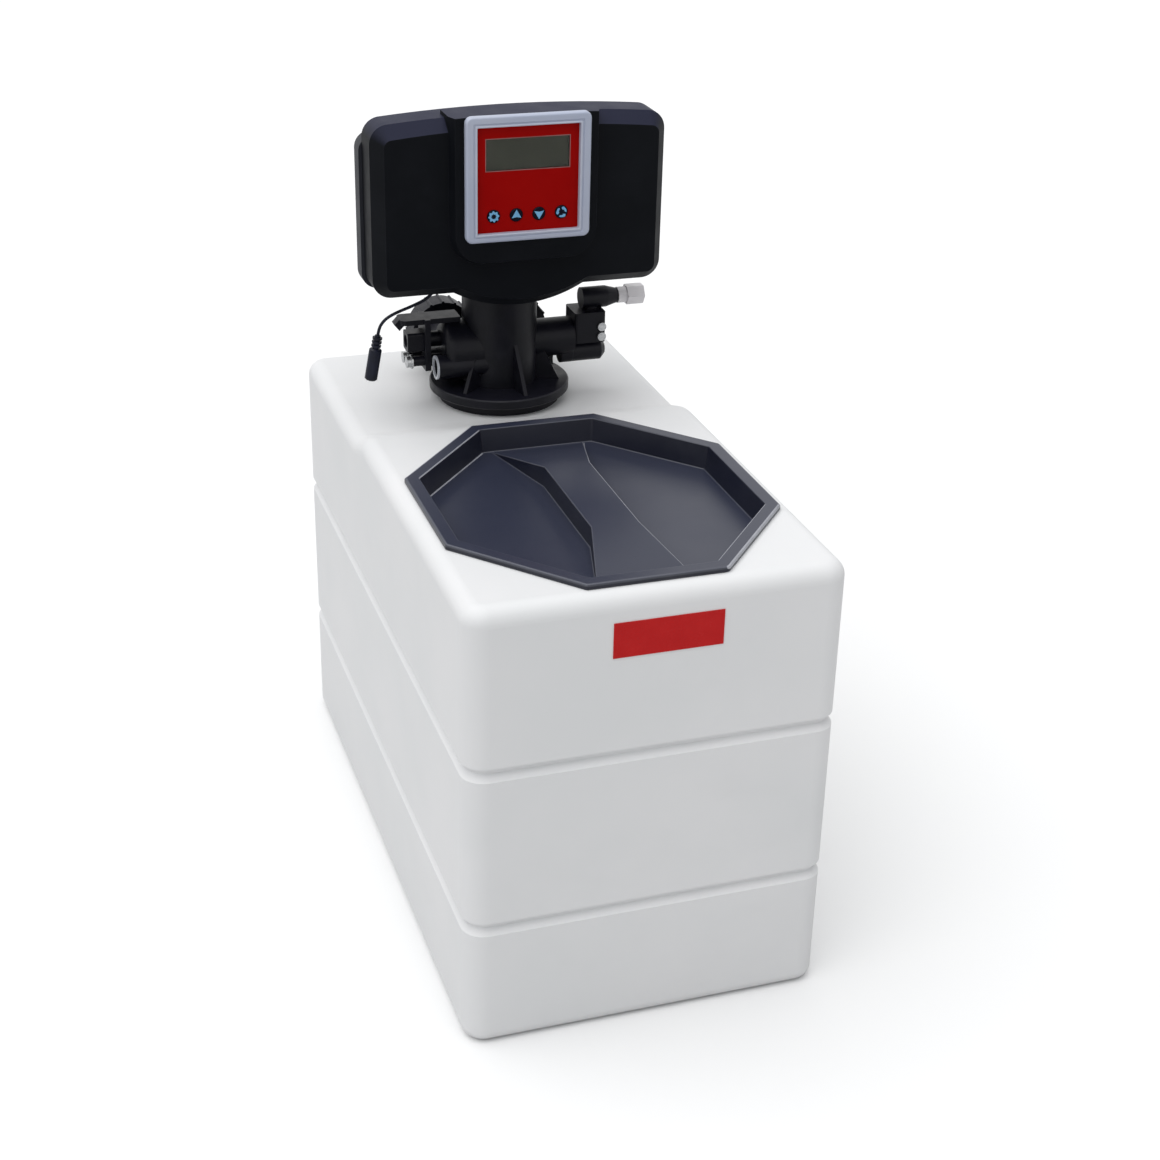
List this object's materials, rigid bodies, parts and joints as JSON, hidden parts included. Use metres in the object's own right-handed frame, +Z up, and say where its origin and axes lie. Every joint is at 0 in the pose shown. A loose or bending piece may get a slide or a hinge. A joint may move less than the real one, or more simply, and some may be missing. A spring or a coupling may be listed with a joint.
{
  "type": "water softener",
  "caption": "Compact cabinet water softener: drop-in salt lid, resin vessel, motor-driven control valve with keypad display, rear line unions, drain and brine fittings.",
  "frame": {"origin": "middle of the cabinet's base, on the floor", "axes": "+Z up, -Y toward the front with the display, +X to the right seen from the front"},
  "size_m": [0.26, 0.5271, 0.561],
  "materials": {
    "cabinet_white": "semi-gloss moulded",
    "lid_grey": "textured with worn edges",
    "label_red": "printed film",
    "head_black": "satin",
    "valve_black": "glass-filled, satin",
    "bezel_silver": "silver painted",
    "overlay_red": "printed membrane",
    "display_glass": "clear window",
    "lcd_grey": "liquid crystal panel",
    "board_green": "printed circuit board",
    "key_navy": "gloss",
    "screw_steel": "zinc plated",
    "fitting_white": "acetal",
    "ring_pale": "satin",
    "gear_natural": "acetal",
    "motor_steel": "plain",
    "vessel_blue": "wound glass fibre",
    "boot_black": "moulded",
    "pipe_white": "extruded",
    "seal_rubber": "plain",
    "lead_black": "smooth sheath"
  },
  "bodies": {
    "cabinet_and_valve": {"cabinet": "cabinet_white", "name_plate": "label_red", "resin_vessel": "vessel_blue", "vessel_boot": "boot_black", "riser_tube": "pipe_white", "lower_basket": "pipe_white", "upper_basket": "pipe_white", "vessel_seal": "seal_rubber", "valve_body": "valve_black", "seal_sleeve": "gear_natural", "piston_seals": "seal_rubber", "stem_plug": "valve_black", "drive_motor": "motor_steel", "gear_pins": "screw_steel", "gear_clips": "screw_steel", "front_cover": "head_black", "gear_frame": "head_black", "rear_cover": "head_black", "case_screws": "screw_steel", "bezel": "bezel_silver", "keypad_overlay": "overlay_red", "display_window": "display_glass", "display_module": "lcd_grey", "circuit_board": "board_green", "drain_yoke": "valve_black", "yoke_sleeves": "valve_black", "yoke_bolts": "screw_steel", "drain_connector": "valve_black", "side_port_ring": "ring_pale", "injector_body": "valve_black", "injector_screws": "screw_steel", "injector_cap": "valve_black", "brine_elbow": "valve_black", "brine_collar": "fitting_white", "brine_nut": "fitting_white", "union_nuts": "valve_black", "tailpieces": "valve_black", "meter_spider": "fitting_white", "turbine_clip": "screw_steel", "brine_well": "pipe_white", "brine_well_cap": "boot_black", "air_check": "pipe_white", "float_stops": "fitting_white", "overflow_elbow": "boot_black", "overflow_nut": "boot_black", "cable_grommet": "seal_rubber", "power_lead": "lead_black", "power_socket": "lead_black"},
    "salt_lid": {"lid": "lid_grey"},
    "main_gear": {"main_gear": "gear_natural"},
    "piston": {"piston": "gear_natural", "piston_rod": "gear_natural"},
    "reduction_gear": {"reduction_gear": "gear_natural"},
    "motor_pinion": {"motor_pinion": "gear_natural"},
    "key_menu": {"key_menu": "key_navy"},
    "key_up": {"key_up": "key_navy"},
    "key_down": {"key_down": "key_navy"},
    "key_regenerate": {"key_regenerate": "key_navy"},
    "turbine": {"turbine": "fitting_white"},
    "brine_float": {"brine_float": "fitting_white"}
  },
  "joints": [
    {"name": "lid_lift", "type": "slide", "parent": "cabinet_and_valve", "child": "salt_lid", "axis": [0, 0, 1], "range_m": [0, 0.12]},
    {"name": "main_gear_turn", "type": "hinge", "parent": "cabinet_and_valve", "child": "main_gear", "pos_m": [0.01765, 0.11, 0.478], "axis": [0, 1, 0], "range_deg": [0, 114.59]},
    {"name": "piston_slide", "type": "slide", "parent": "cabinet_and_valve", "child": "piston", "axis": [0, 0, 1], "range_m": [0, 0.024]},
    {"name": "reduction_gear_turn", "type": "hinge", "parent": "cabinet_and_valve", "child": "reduction_gear", "pos_m": [0.05289, 0.11, 0.49083], "axis": [0, 1, 0], "range_deg": [-458.4, 0]},
    {"name": "motor_pinion_turn", "type": "hinge", "parent": "cabinet_and_valve", "child": "motor_pinion", "pos_m": [0.06564, 0.118, 0.51291], "axis": [0, 1, 0], "range_deg": [0, 1100.2]},
    {"name": "key_menu_press", "type": "slide", "parent": "cabinet_and_valve", "child": "key_menu", "axis": [0, 1, 0], "range_m": [0, 0.0006], "stiffness_N_per_m": 800},
    {"name": "key_up_press", "type": "slide", "parent": "cabinet_and_valve", "child": "key_up", "axis": [0, 1, 0], "range_m": [0, 0.0006], "stiffness_N_per_m": 800},
    {"name": "key_down_press", "type": "slide", "parent": "cabinet_and_valve", "child": "key_down", "axis": [0, 1, 0], "range_m": [0, 0.0006], "stiffness_N_per_m": 800},
    {"name": "key_regenerate_press", "type": "slide", "parent": "cabinet_and_valve", "child": "key_regenerate", "axis": [0, 1, 0], "range_m": [0, 0.0006], "stiffness_N_per_m": 800},
    {"name": "turbine_spin", "type": "hinge", "parent": "cabinet_and_valve", "child": "turbine", "pos_m": [-0.03, 0.16, 0.357], "axis": [0, 1, 0], "continuous": true},
    {"name": "float_rise", "type": "slide", "parent": "cabinet_and_valve", "child": "brine_float", "axis": [0, 0, 1], "range_m": [0, 0.15]}
  ],
  "couplings": [
    {"joint": "piston_slide", "follows": "main_gear_turn", "m_per_rad": 0.012},
    {"joint": "reduction_gear_turn", "follows": "main_gear_turn", "ratio": -4},
    {"joint": "motor_pinion_turn", "follows": "main_gear_turn", "ratio": 9.6}
  ]
}
